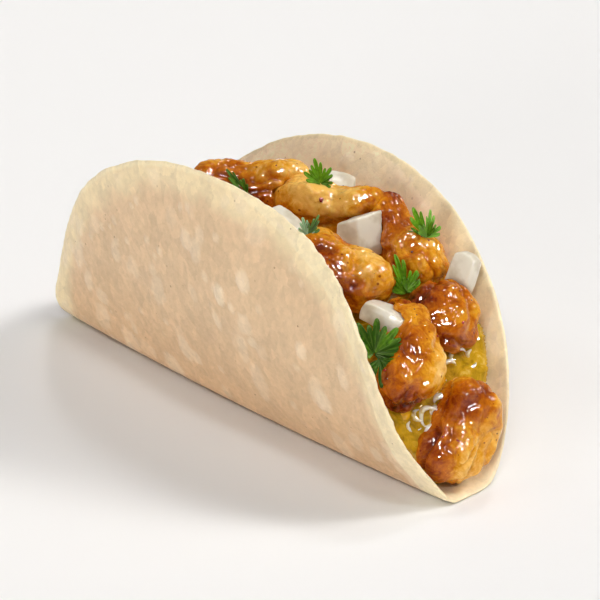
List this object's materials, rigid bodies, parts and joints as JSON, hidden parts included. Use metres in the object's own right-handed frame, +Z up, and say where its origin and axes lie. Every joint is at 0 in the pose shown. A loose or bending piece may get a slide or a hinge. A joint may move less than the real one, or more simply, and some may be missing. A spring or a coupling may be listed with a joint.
{
  "type": "taco",
  "caption": "Soft tortilla folded in half round strips of glazed chicken, diced white onion, green salsa and herb leaves, standing on its fold.",
  "frame": {"origin": "on the flat foot under the middle of the fold, at the level that the taco stands on", "axes": "+X runs along the fold, +Y points to the half that leans back, +Z is up"},
  "size_m": [0.1464, 0.0584, 0.067],
  "materials": {
    "tortilla": "matt soft wheat flatbread, pale rim, light blisters and faint browning",
    "salsa": "wet glossy green and yellow salsa",
    "chicken": "glossy orange glaze over grilled meat with dark edges",
    "onion": "wet translucent white"
  },
  "bodies": {
    "root": {"tortilla": "tortilla", "salsa": "salsa", "chicken_front": "chicken", "chicken_curl": "chicken", "chicken_middle": "chicken", "chicken_upper": "chicken", "chicken_side": "chicken", "chicken_wall": "chicken", "chicken_rear": "chicken", "chicken_near": "chicken", "chicken_back": "chicken", "chicken_back_near": "chicken", "chicken_back_far": "chicken", "onion_middle": "onion", "onion_open": "onion", "onion_rim": "onion", "onion_wall": "onion", "onion_top": "onion", "onion_back": "onion", "onion_back_low": "onion"}
  },
  "joints": []
}
